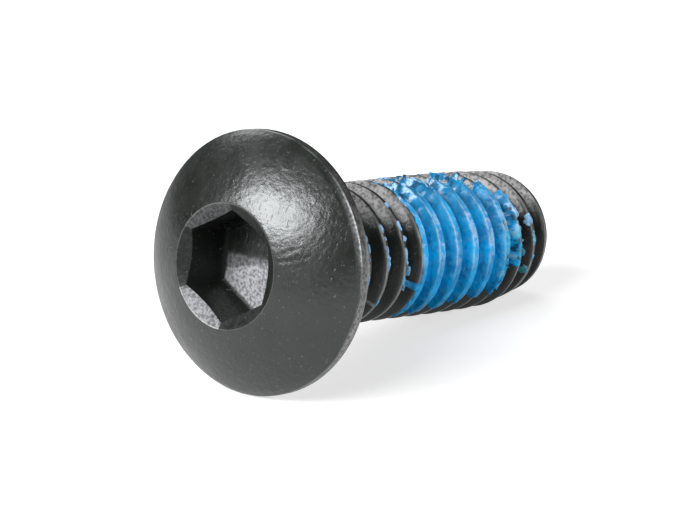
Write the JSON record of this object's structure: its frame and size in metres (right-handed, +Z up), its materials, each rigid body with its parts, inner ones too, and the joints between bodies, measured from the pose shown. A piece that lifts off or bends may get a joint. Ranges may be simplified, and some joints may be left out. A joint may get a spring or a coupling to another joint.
{
  "type": "button head screw",
  "caption": "Button head screw with a hexagon socket, a fully threaded black shank and a blue thread-locking patch, lying on its head rim and thread.",
  "frame": {"origin": "centre of the overall box on the floor that the screw lies on", "axes": "+X along the screw from the head to the tip, as seen from above; +Z up; the screw's own axis drops 8.86 degrees towards the tip"},
  "size_m": [0.0216, 0.0108, 0.0108],
  "materials": {
    "black_oxide_steel": "satin black oxide over alloy steel",
    "blue_locking_resin": "dry blue thread-locking film"
  },
  "bodies": {
    "root": {"screw": "black_oxide_steel", "locking_patch": "blue_locking_resin"}
  },
  "joints": []
}
